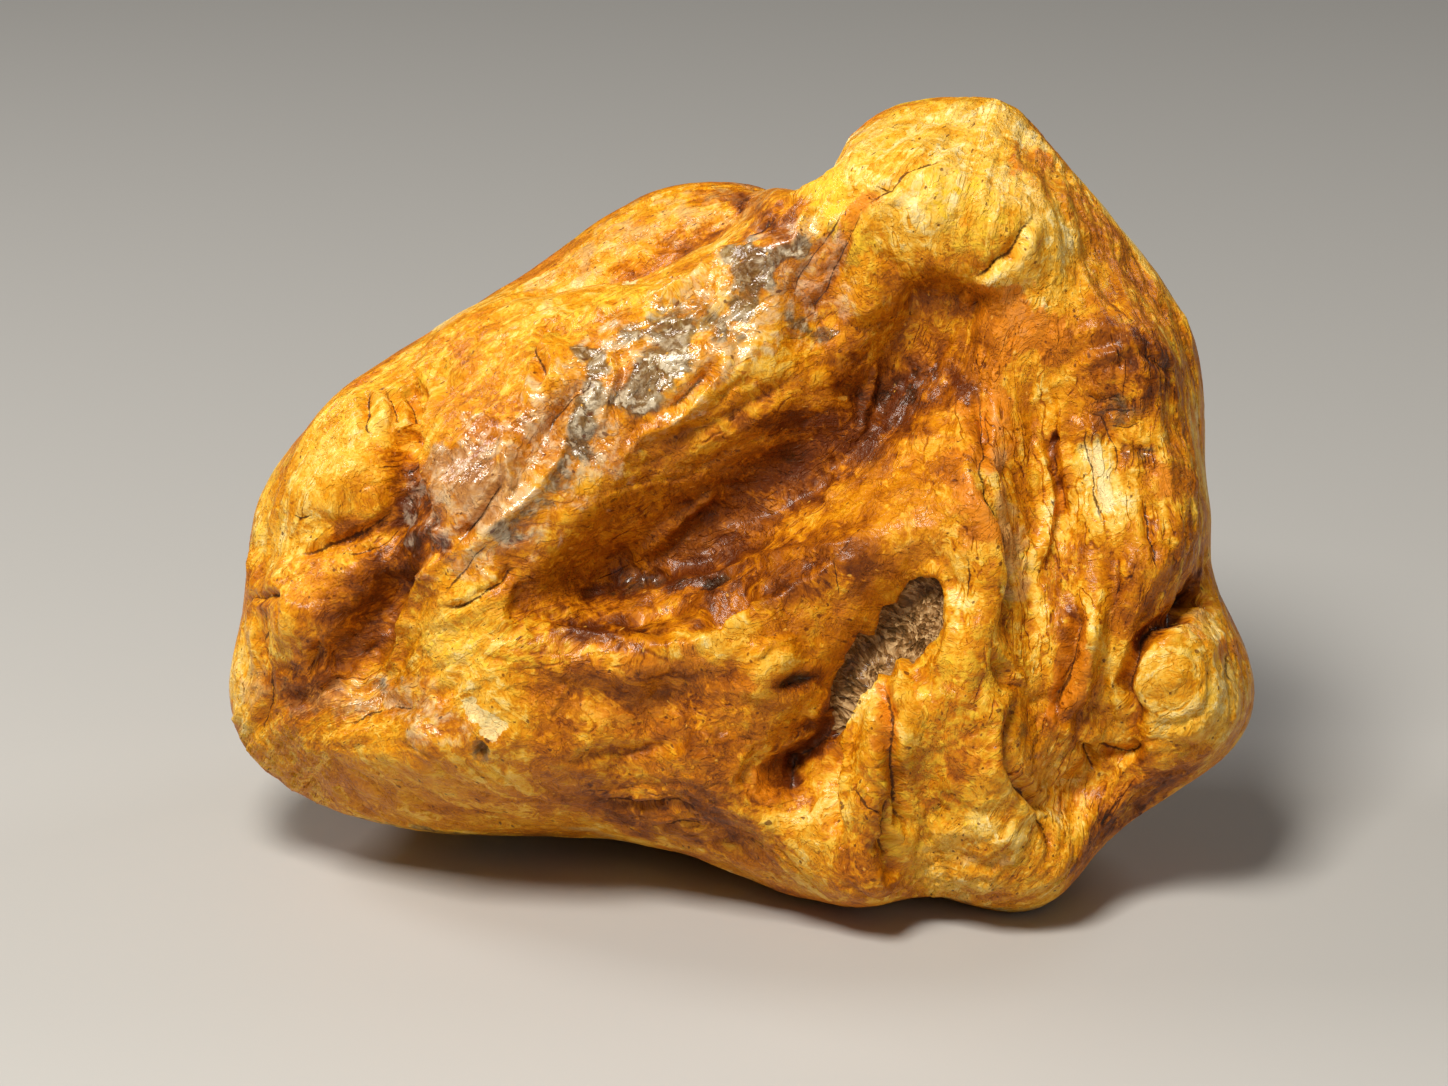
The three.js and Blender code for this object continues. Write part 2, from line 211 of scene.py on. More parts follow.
# Each ledge's name, half width of its step, rise, how far its raised side carries on, and points, which have
# that side on their right.
LEDGES = [
    ("head flake", 5, 0.6, 50, "868,210 904,179 949,163"),
    ("brow flake", 6, 0.35, 30, "968,277 990,267 1011,250 1025,232 1036,212"),
    ("cap flake", 5, 1.5, 40, "444,524 437,485 435,458 439,440 443,412 436,390"),
    ("crest flake", 5, 1.3, 34, "441,560 473,538 497,510 505,467 513,420"),
    ("second crest flake", 5, 1.3, 30, "536,398 543,376 541,352 548,328"),
    ("third crest flake", 5, 1.1, 26, "550,438 571,400 586,389 590,372"),
    ("fourth crest flake", 5, 0.9, 26, "632,430 622,404 626,380 640,352"),
    ("hollow edge", 6, 1.0, 46, "515,569 508,600 504,640"),
    ("trunk seam step", 5, 0.9, 40, "980,400 983,445 988,496 1000,520 1009,566 1006,622"),
    ("trunk flake", 5, 0.6, 26, "1109,532 1099,500 1094,478 1090,456 1082,406"),
    ("pale flake", 5, 0.7, 24, "1046,440 1062,450 1069,480 1068,520"),
    ("rust slot step", 5, 1.1, 40, "1056,716 1065,690 1074,660 1081,607"),
    ("knob edge", 8, 1.0, 60,
     "1098,750 1134,753 1142,734 1142,714 1131,697 1132,668 1146,645 1170,622 1194,596"),
    ("swirl step", 5, 0.8, 24, "1017,697 1007,727 1010,770 1024,795 1053,818"),
    ("flame step", 6, 0.5, 40, "910,832 892,775 889,757 895,718 888,700"),
    ("cap crack step", 5, 0.9, 34, "398,513 358,533 325,547 289,556"),
    ("valley step", 6, 1.2, 40, "400,640 409,622 416,600 446,552"),
    ("lip step", 6, 0.8, 30, "520,632 576,632 623,642 675,646 722,634 756,609 800,590"),
    ("lobe step", 7, 0.9, 40, "560,303 623,279 690,257 750,231 800,203"),
    ("crease step", 5, 0.5, 24, "345,721 370,716 398,707 418,705"),
]

# Each pit's name, middle, half length, half width, turn in degrees (clockwise from pointing right) and depth.
PITS = [
    ("pit in the lobe", "797,682", 18, 6, -14, 0.8),
    ("pit by the trunk seam", "1001,672", 15, 7, 55, 1.5),
    ("second pit by the seam", "1012,687", 7, 4, 20, 0.8),
    ("dark hole in the column", "1140,452", 10, 5, 35, 0.6),
    ("hole beside it", "1124,448", 6, 4, 60, 0.5),
    ("hole in the recess", "1057,438", 5, 4, 0, 0.7),
    ("hole above the knob", "1199,604", 15, 7, 15, 1.5),
    ("pit in the chalk", "483,750", 7, 6, 20, 1.1),
    ("brow pit", "906,186", 5, 3, 30, 0.5),
    ("brow pit, lower", "913,200", 6, 4, -20, 0.6),
    ("brow pit, left", "897,206", 5, 3, 10, 0.4),
    ("pit by the rust slot", "1088,752", 10, 6, 40, 0.8),
    ("hollow pit", "592,590", 9, 6, -20, 0.7),
    ("hollow pit, middle", "655,580", 10, 8, -10, 0.8),
    ("hollow pit, right", "714,582", 17, 7, -15, 0.7),
    ("hollow pit, lower", "636,615", 13, 4, 0, 0.6),
    ("hollow pit, upper", "556,566", 10, 5, -10, 0.5),
    ("cleft behind the neck", "786,205", 12, 5, -20, 0.7),
    ("chip by the ledge", "468,602", 8, 5, 0, 0.6),
    ("foot chip", "980,862", 24, 7, 8, 0.5),
]

# The pocket of grey crystal, round its edge.
POCKET = (
    "923,572 936,581 943,599 941,620 932,640 921,656 912,666 905,657 897,664 889,676 880,673 871,689 "
    "860,706 852,720 840,730 829,738 830,715 834,694 841,675 851,658 857,642 859,631 866,637 875,637 "
    "878,619 887,611 900,604 905,590 912,578"
)
POCKET_DEPTH = 1.7
POCKET_WALL = 5  # how wide its wall is

# Chips whose broken face is pale and chalky, round their edges.
CHALK_DEPTH = 0.35
CHALK_WALL = 4
CHALK = [
    "457,697 473,694 479,706 500,717 507,730 498,744 486,742 478,730 466,720",
    "620,276 636,274 638,284 624,287",
]

# The lines that the fibres follow, each with how far across the grain from the pocket it is, in millimetres.
GRAIN = [
    (-38, "1190,330 1203,430 1203,540 1222,600 1250,680 1200,780"),
    (-28, "1115,300 1125,380 1135,460 1130,560 1120,640 1124,700 1115,780 1080,860"),
    (-18, "1060,200 1050,370 1065,470 1068,560 1065,640 1055,730 1035,800 1000,880"),
    (-9, "1010,200 998,340 990,430 1005,530 1007,600 1000,680 980,780 955,870"),
    (-2, "968,350 950,430 965,500 972,570 965,640 940,710 925,800 915,870"),
    (2, "900,480 925,520 945,570 945,640 915,700 898,780 893,870"),
    (7, "925,380 870,480 800,542 730,590 640,625 520,645 430,690 330,740"),
    (1, "870,590 800,645 740,690 640,750 520,790 400,790"),
    (-6, "850,700 780,775 700,825 600,850"),
    (-4, "872,700 858,760 845,830 842,885"),
    (13, "975,120 950,220 935,310 890,420 820,490 720,545 620,590 500,622"),
    (21, "925,120 910,220 895,310 840,390 760,450 660,505 560,560 470,612 370,700"),
    (30, "880,130 862,220 840,300 760,380 660,440 560,500 470,560 420,622 340,670"),
    (38, "845,150 820,240 700,325 600,392 510,460 440,530 390,600 320,640 272,700"),
    (46, "785,215 680,275 560,340 480,405 432,470 380,520 310,560 250,611"),
    (54, "760,190 690,215 590,270 480,335 405,395 345,450 285,510 245,560"),
    (60, "700,180 600,222 480,298 380,368 300,440 255,490"),
]

# Stains and painted light and shade, by what they change: by how much, how far each reaches in pixels, and
# the line that it follows.
STAINS = {
    # The tone strokes are partly the stone's own darker and paler colour and partly painted shade and light:
    # darker in the hollow, the valleys and creases, under the lip, the brow and the knob, low on the belly
    # and down the right side, and paler on the head's top and the left cap, which face the light.
    "tone": [
        # the head and its neck: painted shade under the brow and down the right side, and a top paler partly
        # by wear and partly by painted light
        (-0.14, 34, "902,290 950,305 985,322"), (0.16, 8, "972,280 992,272 1014,262"),
        (0.08, 20, "1020,272 1050,250 1070,230"), (0.14, 40, "985,310 1020,325 1050,350"),
        (0.08, 30, "910,300 965,320"), (-0.12, 34, "1060,170 1090,215"),
        (0.22, 85, "890,170 980,130 1060,180"), (-0.14, 50, "1100,190 1150,280 1195,350"),
        (-0.16, 6, "838,226 815,258 794,300"), (-0.16, 6, "856,230 829,280 814,316"),
        # the lobe behind
        (-0.24, 15, "703,197 720,190 736,196"), (-0.2, 13, "676,242 700,232 722,240"),
        (-0.04, 34, "600,250 650,225 740,205"), (0.12, 34, "640,230 700,205 600,255 520,300"),
        # the crest: painted shade in the valley below the lobe and in the cleft behind the neck
        (-0.2, 14, "800,203 750,231 690,257 623,279"), (-0.24, 17, "748,205 762,222 781,228"),
        (-0.12, 36, "440,500 480,460 500,420"),
        # the left cap, cheek and valley: painted shade in the valley, the cap's pocket and its crack, and a
        # cap paler partly by painted light
        (-0.26, 42, "402,560 372,608 335,650 308,688"), (-0.34, 26, "398,462 420,495 428,530"),
        (-0.2, 16, "343,530 370,522 396,513"), (-0.16, 34, "270,580 330,590"),
        (0.1, 30, "335,645 385,600"), (0.14, 46, "350,430 300,500 300,560"),
        (0.14, 16, "250,620 240,680 250,730"),
        # the hollow and its lip: the hollow darker partly by its stain and partly by painted shade, painted
        # shade just under the lip's edge and a painted highlight along it
        (-0.14, 84, "560,580 640,535 740,475 840,420"), (-0.08, 40, "560,592 640,572 720,535 765,500"),
        (-0.12, 60, "830,430 890,370 945,330"), (-0.16, 36, "690,590 770,575 850,548"),
        (-0.12, 14, "560,622 630,626 700,612"), (-0.12, 45, "840,560 800,620 850,620"),
        (0.08, 34, "560,560 640,520"), (-0.1, 40, "800,450 860,430 930,400"),
        (-0.12, 40, "890,420 930,370"), (-0.3, 13, "560,632 610,636 665,642"),
        (-0.1, 30, "700,585 770,580 850,570"), (-0.14, 12, "592,590 655,582 716,582"),
        (0.1, 40, "465,620 480,670 490,700"), (0.08, 9, "500,648 576,644 675,656 726,642 758,618"),
        # the belly and the pocket's tail: painted shade low on the belly and in the valley of the pocket's
        # tail
        (-0.14, 55, "560,700 640,705 725,700"), (-0.14, 50, "560,770 640,790 700,780"),
        (-0.12, 30, "600,800 660,815 720,815"), (-0.14, 44, "770,850 850,850"),
        (-0.34, 20, "832,716 808,742 788,762 790,790"), (-0.34, 16, "782,683 800,682 812,677"),
        (0.08, 30, "800,810 850,830 800,850"), (0.12, 16, "750,690 772,668 810,655"),
        # the trunk: painted shade on its right shoulder and in its seams and recesses
        (-0.26, 40, "1070,350 1110,350 1160,372"), (-0.08, 40, "1160,480 1165,560 1150,620"),
        (-0.12, 22, "1066,440 1078,520 1076,600"), (-0.26, 10, "1124,448 1146,455"),
        (-0.14, 18, "1095,428 1115,412 1140,400"), (-0.14, 26, "1112,545 1132,580 1125,620"),
        (0.12, 12, "1096,540 1098,580 1096,620"), (0.12, 14, "1078,420 1082,470 1078,520"),
        (0.14, 22, "1098,470 1115,500 1125,530"), (0.1, 20, "1112,650 1108,700 1120,735"),
        (-0.04, 80, "1150,520 1130,600 1100,680"),
        (0.22, 7, "1037,447 1046,480 1046,508 1041,540 1034,575"), (-0.1, 8, "1052,432 1057,470 1059,505"),
        (0.24, 11, "1100,450 1106,480 1110,510"), (-0.16, 6, "1000,520 1008,560 1008,610"),
        (0.16, 12, "1152,440 1160,500 1170,540"), (0.14, 10, "960,560 958,620 950,680"),
        (0.09, 18, "1000,460 1010,510 1024,560"), (-0.14, 9, "990,560 988,640 975,700"),
        (0.12, 9, "1034,600 1040,650 1030,700"),
        # the knob: painted shade in its crease and on its underside
        (-0.18, 11, "1196,575 1168,622 1132,668 1142,714 1142,750"),
        (0.09, 66, "1180,655 1215,690 1180,740"), (-0.36, 44, "1225,790 1160,805 1110,860"),
        # the flame and the feet
        (-0.18, 20, "872,730 872,830"), (0.06, 14, "884,700 873,760 858,830"),
        (-0.16, 30, "880,880 850,870 900,885"), (0.1, 44, "900,830 800,860 960,850 1040,860"),
    ],
    "rust": [
        # the head and its neck
        (0.95, 32, "985,306 1020,320 1050,340"), (0.7, 16, "1022,160 1042,165"),
        (0.7, 14, "872,196 850,236 828,270 804,304"),
        # the left cap, cheek and valley
        (0.9, 12, "340,531 368,523 398,512"), (0.55, 44, "400,560 370,610 320,670"),
        # the hollow and its lip
        (0.45, 95, "620,560 750,490 880,440 900,520"), (0.4, 26, "860,580 870,600 840,640"),
        # the belly and the pocket's tail
        (0.5, 50, "570,680 640,690 720,690"), (0.8, 22, "825,735 800,755 765,790"),
        (0.5, 24, "600,800 660,812 710,814"),
        # the trunk
        (0.6, 34, "985,330 985,400 1000,450"), (0.95, 12, "1080,615 1074,665 1058,712"),
        (0.6, 20, "1162,478 1190,486"), (0.45, 26, "1060,700 1040,770 1060,800"),
        (0.6, 10, "1052,436 1057,470 1056,505"), (0.7, 14, "950,470 975,500 985,530"),
        (0.7, 10, "886,690 895,716 890,750"), (0.45, 22, "950,770 960,740 975,760"),
        # the knob
        (0.8, 14, "1197,575 1175,615 1140,650"), (0.8, 16, "1225,650 1242,640"),
    ],
    "ochre": [
        (0.8, 26, "828,190 850,225 860,250"), (0.5, 46, "945,190 985,235"),
        (0.55, 18, "640,290 590,312 540,345"), (0.45, 40, "300,430 350,395 420,360"),
        (0.45, 40, "450,630 500,650 560,645"), (0.35, 60, "1010,620 1030,560 1060,640"),
        (0.5, 60, "940,780 900,820 960,700"),
    ],
    "grey": [
        # the crest
        (1.0, 26, "636,400 652,376 678,350"), (0.7, 16, "630,336 665,322 705,322 724,330"),
        (1.0, 17, "736,308 750,290 762,278"), (0.95, 11, "580,352 594,362 590,384 584,410 576,436"),
        (0.95, 12, "745,262 775,256 800,248"), (0.65, 14, "498,532 530,514 556,480 574,452"),
        (0.7, 10, "778,318 788,330"),
        # the left cap, cheek and valley
        (0.6, 8, "381,688 388,690"),
        # the hollow and its lip
        (0.8, 9, "800,322 812,332 832,330"), (0.45, 9, "592,590 655,581 720,581"),
        # the belly and the pocket's tail
        (0.62, 10, "784,683 808,679"), (0.6, 10, "482,750 486,754"),
        # the trunk
        (0.5, 8, "1122,447 1142,455"), (0.45, 10, "1026,732 1026,752"),
        (0.52, 15, "1092,430 1112,416 1140,402"),
    ],
    "gloss": [
        (1.0, 62, "470,520 560,440 640,372 740,318 800,280"), (0.6, 28, "462,490 490,445"),
        (0.7, 30, "370,690 450,730"),
    ],
    "blush": [
        (0.5, 30, "540,290 600,252 650,224 740,202"),
        (0.55, 52, "480,505 560,435 640,375 720,335 765,320"), (0.6, 30, "462,470 490,492"),
        (0.55, 11, "254,615 250,660 252,700"), (0.55, 22, "300,700 360,700 420,690"),
        (0.45, 14, "884,310 890,330"), (0.6, 14, "1000,450 1006,490 1022,540 1024,590"),
        (0.7, 7, "1004,525 1008,600"), (0.5, 16, "1170,628 1200,622"), (0.45, 20, "960,860 1000,862"),
    ],
}

KNOB = (1190, 690)  # the middle of the knob, whose fibres hardly show

# Where a stretch of the outline is pushed inwards: its middle, how far this reaches, and the way.
NOTCH = ((806, 160), 52, (8, 25))

# How far strokes, stains and the chips' edges are shaken out of line, so that none runs quite smooth.
STROKE_WOBBLE = 5
STAIN_WOBBLE = 9
CHALK_WOBBLE = 4
OUTLINE_REACH = 9.0  # how far from an outline its distance is kept

RELIEF = 1.4  # the drawn relief's strength
NO_CRACK = 9.0  # a crack's distance where there is none, in half widths
TRIANGLES = 190000
UPRIGHT_GRAIN = 10  # where across the grain its lines don't change with the depth, in millimetres
GRAIN_SPREAD = 50  # how far from there they change by all of the depth
RIB_STRETCH = 5  # how many times longer than wide the ribs down the grain are
PLAIN_TONE = 0.57  # how pale the stone is where nothing stains it
TWIST = 0.7  # how far the material's textures are bent out of line, in millimetres
GRAIN_TWIST = 0.25  # the share of that which bends the grain
FLAKE_STEPS = 12
FLOOR_SIZE = 6
FLOOR_ROUGHNESS = 0.6
ROOM_COLOUR = (1, 0.98, 0.95, 1)
ROOM_LIGHT = 0.04


# ---- Measuring on the face ----

def ramped(value, low, high):
    """0 below low, 1 above high and a smooth rise between. low may be the greater, for a fall."""
    t = np.clip((np.asarray(value) - low) / (high - low), 0, 1)
    return t * t * (3 - 2 * t)


def pixels(text):
    """Points written as "column,row column,row", as rows of numbers."""
    return np.array([point.split(",") for point in text.split()], float)


def camera_place():
    """Where the camera is: square on to the face, with the middle of the picture in its aim."""
    across = (PICTURE[0] / 2 - FACE_PIXEL[0]) * PIXEL
    down = (PICTURE[1] / 2 - FACE_PIXEL[1]) * PIXEL
    return FACE_CENTRE + RIGHT * across - UP * down + OUT * CAMERA_DISTANCE


def in_picture(places):
    """The column and row of the picture where each place shows."""
    rays = places - np.array(camera_place())
    depth = -rays @ np.array(OUT)
    scale = CAMERA_DISTANCE / (PIXEL * depth)
    columns = PICTURE[0] / 2 + (rays @ np.array(RIGHT)) * scale
    rows = PICTURE[1] / 2 - (rays @ np.array(UP)) * scale
    return np.stack([columns, rows], axis=1)


def in_face(places):
    """Places in millimetres in the frame of the face: right, up and out."""
    axes = np.array([RIGHT, UP, OUT])
    return (places - np.array(FACE_CENTRE)) @ axes.T / MM


def curved(points, step=6):
    """A Catmull-Rom curve through given points, as points about a step apart."""
    p = pixels(points)
    p = np.vstack([2 * p[0] - p[1], p, 2 * p[-1] - p[-2]])
    line = []
    for a, b, c, d in zip(p, p[1:], p[2:], p[3:]):
        count = max(1, int(np.hypot(*(c - b)) / step))
        for t in np.arange(count) / count:
            line.append(b + 0.5 * t * (c - a + t * (2 * a - 5 * b + 4 * c - d + t * (3 * (b - c) + d - a))))
    return np.array(line + [p[-2]])


def off_line(spots, points):
    """How far each spot is from a line (above 0 on the right of its way) and its share of the way along."""
    line = curved(points)
    pieces = np.diff(line, axis=0)
    lengths = np.hypot(*pieces.T)
    starts = np.concatenate([[0], np.cumsum(lengths)])
    near = np.full(len(spots), np.inf)
    side = np.ones(len(spots))
    share = np.zeros(len(spots))
    for start, piece, length, gone in zip(line, pieces, lengths, starts):
        from_start = spots - start
        t = np.clip(from_start @ piece / length**2, 0, 1)
        gap = np.hypot(*(from_start - t[:, None] * piece).T)
        closer = gap < near
        near[closer] = gap[closer]
        turn = piece[0] * from_start[closer, 1] - piece[1] * from_start[closer, 0]
        side[closer] = np.where(turn < 0, -1, 1)
        share[closer] = (gone + t[closer] * length) / starts[-1]
    return near * side, share


def within(spots, corners):
    """Distance from each spot to the edge of a closed outline, above 0 inside it."""
    ring = pixels(corners)
    near = np.full(len(spots), np.inf)
    inside = np.zeros(len(spots), bool)
    for a, b in zip(ring, np.roll(ring, -1, axis=0)):
        t = np.clip((spots - a) @ (b - a) / ((b - a) @ (b - a)), 0, 1)
        near = np.minimum(near, np.hypot(*(spots - a - t[:, None] * (b - a)).T))
        spans = (a[1] > spots[:, 1]) != (b[1] > spots[:, 1])
        if a[1] != b[1]:
            crossing = a[0] + (spots[:, 1] - a[1]) * (b[0] - a[0]) / (b[1] - a[1])
            inside ^= spans & (spots[:, 0] < crossing)
    return np.where(inside, near, -near)


def depth_inside(spots, outlines):
    """How far inside the nearest of some outlines each spot is, in pixels, and below 0 outside them all."""
    depth = np.full(len(spots), -OUTLINE_REACH)
    for corners in outlines:
        near = around(spots, corners, OUTLINE_REACH)
        depth[near] = np.maximum(depth[near], within(spots[near], corners))
    return np.clip(depth, -OUTLINE_REACH, OUTLINE_REACH)


def tapered(share, ends=0.18):
    """1 along a line, falling away to 0 at both of its ends."""
    return ramped(np.minimum(share, 1 - share), 0, ends)


def around(spots, points, reach):
    """The spots within a reach of a line's own box."""
    line = pixels(points)
    low, high = line.min(0) - reach, line.max(0) + reach
    return np.flatnonzero(((spots > low) & (spots < high)).all(1))


def across_grain(spots, scale=100, softness=0.02, blocks=24):
    """How far across the grain each spot is, in millimetres: a thin plate bent through the grain's lines."""
    lines = [(level, curved(points, step=30) / scale) for level, points in GRAIN]
    anchors = np.concatenate([line for _, line in lines])
    levels = np.concatenate([np.full(len(line), float(level)) for level, line in lines])

    def bend(a, b):
        squared = ((a[:, None] - b[None]) ** 2).sum(2)
        return squared * np.log(squared + 1e-9)

    def plane(a):
        return np.column_stack([np.ones(len(a)), a])

    top = np.hstack([bend(anchors, anchors) + softness * np.eye(len(anchors)), plane(anchors)])
    low = np.hstack([plane(anchors).T, np.zeros((3, 3))])
    weights = np.linalg.solve(np.vstack([top, low]), np.concatenate([levels, np.zeros(3)]))
    return np.concatenate([np.hstack([bend(block, anchors), plane(block)]) @ weights
                           for block in np.array_split(spots / scale, blocks)])


# ---- The stone's surface ----

def fractal(points, size, octaves=3, shift=0.0):
    """Soft noise of about -1 to 1 at each point, with swells of a size. A shift makes it another noise."""
    return np.array([noise.fractal(p / size + Vector((shift, shift, 0)), 1.0, 2.0, octaves)
                     for p in map(Vector, points)])


def stepped(value, sharp=0.3):
    """A value made into level steps one high, each with a short sharp rise."""
    whole = np.floor(value)
    return whole + ramped(value - whole, 0, sharp)


def settle(stone):
    """Makes an object's modifiers part of its own mesh."""
    ready = stone.evaluated_get(bpy.context.evaluated_depsgraph_get())
    mesh = bpy.data.meshes.new_from_object(ready)
    stone.modifiers.clear()
    stone.data = mesh
    mesh.shade_smooth()


def fine_copy(node, name):
    """A new object with a solid's surface, rounded and divided finely. The solid itself stays as it is."""
    stone = bpy.data.objects.new(name, node.data.copy())
    bpy.context.scene.collection.objects.link(stone)
    weld = stone.modifiers.new("weld", "WELD")
    weld.merge_threshold = 1e-6
    divide = stone.modifiers.new("divide", "SUBSURF")
    divide.levels = 3
    settle(stone)
    stone.data.materials.clear()
    return stone


def lighten(stone):
    """Takes out the triangles that the relief can spare."""
    triangles = 2 * len(stone.data.polygons)
    if triangles > TRIANGLES:
        spare = stone.modifiers.new("spare", "DECIMATE")
        spare.ratio = TRIANGLES / triangles
        settle(stone)


def read(vectors, field):
    """A mesh's places or normals as rows of three."""
    values = np.empty(len(vectors) * 3, np.float32)
    vectors.foreach_get(field, values)
    return values.reshape(-1, 3).astype(float)


def store(mesh, name, kind, *columns):
    """Keeps columns of numbers with the mesh's points, for the material to read."""
    field = {"FLOAT": "value", "FLOAT_VECTOR": "vector", "FLOAT_COLOR": "color"}[kind]
    if kind == "FLOAT_COLOR":
        columns = (*columns, np.ones(len(columns[0])))
    values = np.ascontiguousarray(np.column_stack(columns), np.float32)
    mesh.attributes.new(name, kind, "POINT").data.foreach_set(field, values.ravel())


class Surface:
    """What the relief and the stains are worked out from at each point of a mesh."""

    def __init__(self, mesh):
        self.places = read(mesh.vertices, "co")
        self.normals = read(mesh.vertex_normals, "vector")
        self.face = in_face(self.places)
        self.spots = in_picture(self.places)
        toward = np.array(camera_place()) - self.places
        self.facing = (self.normals * toward).sum(1) / np.linalg.norm(toward, axis=1)
        self.seen = ramped(self.facing, 0.05, 0.4)

        # The grain changes with the depth too, so that its lines also run along the flanks.
        across = across_grain(self.spots)
        right, up, out = self.face.T
        self.grain = across - out * np.clip((across - UPRIGHT_GRAIN) / GRAIN_SPREAD, -1, 1)
        self.along = np.column_stack([self.grain * RIB_STRETCH, up, right + out])

        self.wobble = np.column_stack([fractal(self.face, 5, 2), fractal(self.face, 5, 2, shift=40)])
        self.ragged = fractal(self.face, 2.6, 3, shift=80)


def face_relief(spots):
    """The face's drawn relief in millimetres, and its cracks in three layers: how far off, and how open."""
    relief = np.zeros(len(spots))
    cracks = np.full((len(spots), 3), NO_CRACK)
    opened = np.zeros((len(spots), 3))
    for _, width, depth, line_width, points in GROOVES:
        near = around(spots, points, 4 * width)
        off, share = off_line(spots[near], points)
        held = tapered(share)
        shape = np.exp(-((off / width) ** 2)) - 0.25 * np.exp(-(((abs(off) - 1.9 * width) / width) ** 2))
        relief[near] -= depth * held * shape
        if line_width:
            close = abs(off) < 3 * width + 6
            near, off, held = near[close], off[close], held[close]
            layer = int(np.argmin(opened[near].max(axis=0)))
            cracks[near, layer] = off / (0.5 * line_width)
            opened[near, layer] = held * ramped(abs(off), 3 * width, width)
    for _, width, height, points in RIDGES:
        near = around(spots, points, 3 * width)
        off, share = off_line(spots[near], points)
        relief[near] += height * tapered(share) * np.exp(-((off / width) ** 2))
    for _, width, rise, carry, points in LEDGES:
        near = around(spots, points, 3 * carry)
        off, share = off_line(spots[near], points)
        step = ramped(off, -width, width) * np.exp(-np.clip(off, 0, None) / carry)
        from_middle = np.hypot(*(spots[near] - pixels(points).mean(0)).T)
        half_length = np.hypot(*(np.ptp(pixels(points), axis=0) / 2))
        end_fade = np.exp(-np.clip(from_middle - half_length, 0, None) / carry)
        relief[near] += rise * tapered(share, 0.25) * step * end_fade
    for _, middle, length, width, turn, depth in PITS:
        near = around(spots, middle, 3 * length)
        c, s = math.cos(math.radians(turn)), math.sin(math.radians(turn))
        x, y = (spots[near] - pixels(middle)).T
        size = np.hypot((c * x + s * y) / length, (c * y - s * x) / width)
        relief[near] -= depth * ramped(size, 1.5, 0.5)
    relief -= POCKET_DEPTH * ramped(depth_inside(spots, [POCKET]), -0.4 * POCKET_WALL, POCKET_WALL)
    relief -= CHALK_DEPTH * ramped(depth_inside(spots, CHALK), -0.5 * CHALK_WALL, CHALK_WALL)
    return relief, cracks, opened


def face_stains(spots, ragged):
    """The stains drawn on the face, with the painted light and shade of the tone strokes, as one number at
    each spot for each kind.
    """
    stains = {kind: np.zeros(len(spots)) for kind in STAINS}
    for kind, strokes in STAINS.items():
        for amount, reach, points in strokes:
            near = around(spots, points, 2 * reach)
            off, _ = off_line(spots[near], points)
            stains[kind][near] += amount * ramped(abs(off) / reach + 0.5 * ragged[near], 1.35, 0.35)
    return stains


def stone_relief(at, drawn, pocket):
    """How far each point is raised along its normal, in millimetres, by what is drawn and by noise."""
    lumps = fractal(at.face, 8, 3, shift=120)
    ribs = fractal(at.along, 14, 3, shift=160)
    chips = fractal(at.face, 3.4, 3, shift=200)
    flutes = fractal(at.along, 38, 2, shift=240)
    flakes = stepped(3.2 * fractal(0.5 * (at.along + at.face), 9, 4, shift=440))
    crystals = fractal(at.face, 1.6, 2, shift=280)
    rim = ramped(abs(at.facing), 0.35, 0.1)  # where the stone turns away it is worn smooth
    rough = 0.35 * lumps + 0.30 * ribs + 0.22 * chips + 0.22 * flakes - 0.3 * ramped(abs(ribs), 0.10, 0.0)
    furrows = ramped(abs(ribs), 0.08, 0.0) * ramped(flutes, -0.3, 0.3)
    rough += (1 - at.seen) * (0.9 * flutes - 0.5 * furrows)
    relief = RELIEF * at.seen * drawn + (1 - 0.85 * rim) * rough
    return relief + 0.2 * ramped(pocket, 0, 4) * at.seen * crystals


def trunk_side(spots):
    """1 on the trunk side of the face, where fibres show most, and 0 on the knob and the rest of the face."""
    on_trunk = ramped(spots[:, 0], 900, 1010) * ramped(spots[:, 1], 260, 420)
    return on_trunk * ramped(np.hypot(*(spots - KNOB).T), 60, 130)


def paint(at, drawn):
    """What colours each point, 0 to 1: stains drawn on the face, with the painted light and shade of its tone
    strokes, patches of noise elsewhere, and fibres.
    """
    hidden = 1 - at.seen
    clouds = fractal(at.face, 10, 3, shift=480)
    broad = fractal(at.face, 22, 3, shift=320)
    second = fractal(at.face, 16, 3, shift=360)
    third = fractal(at.face, 12, 3, shift=400)
    elsewhere = {
        "tone": 0.30 * broad + 0.08,
        "rust": 0.8 * ramped(second, 0.05, 0.45),
        "ochre": 0.7 * ramped(third, 0.1, 0.5),
        "grey": 0.45 * ramped(-second, 0.42, 0.54),
        "blush": 0.6 * ramped(-third, 0.1, 0.4),
    }
    stains = face_stains(at.spots + STAIN_WOBBLE * at.wobble, at.ragged)
    for kind, patches in elsewhere.items():
        stains[kind] = at.seen * stains[kind] + hidden * patches
    stains["tone"] += PLAIN_TONE + 0.05 * drawn * at.seen + 0.12 * clouds
    stains["fibrous"] = at.seen * trunk_side(at.spots) + hidden * ramped(broad, -0.2, 0.3)
    return {kind: np.clip(values, 0, 1) for kind, values in stains.items()}


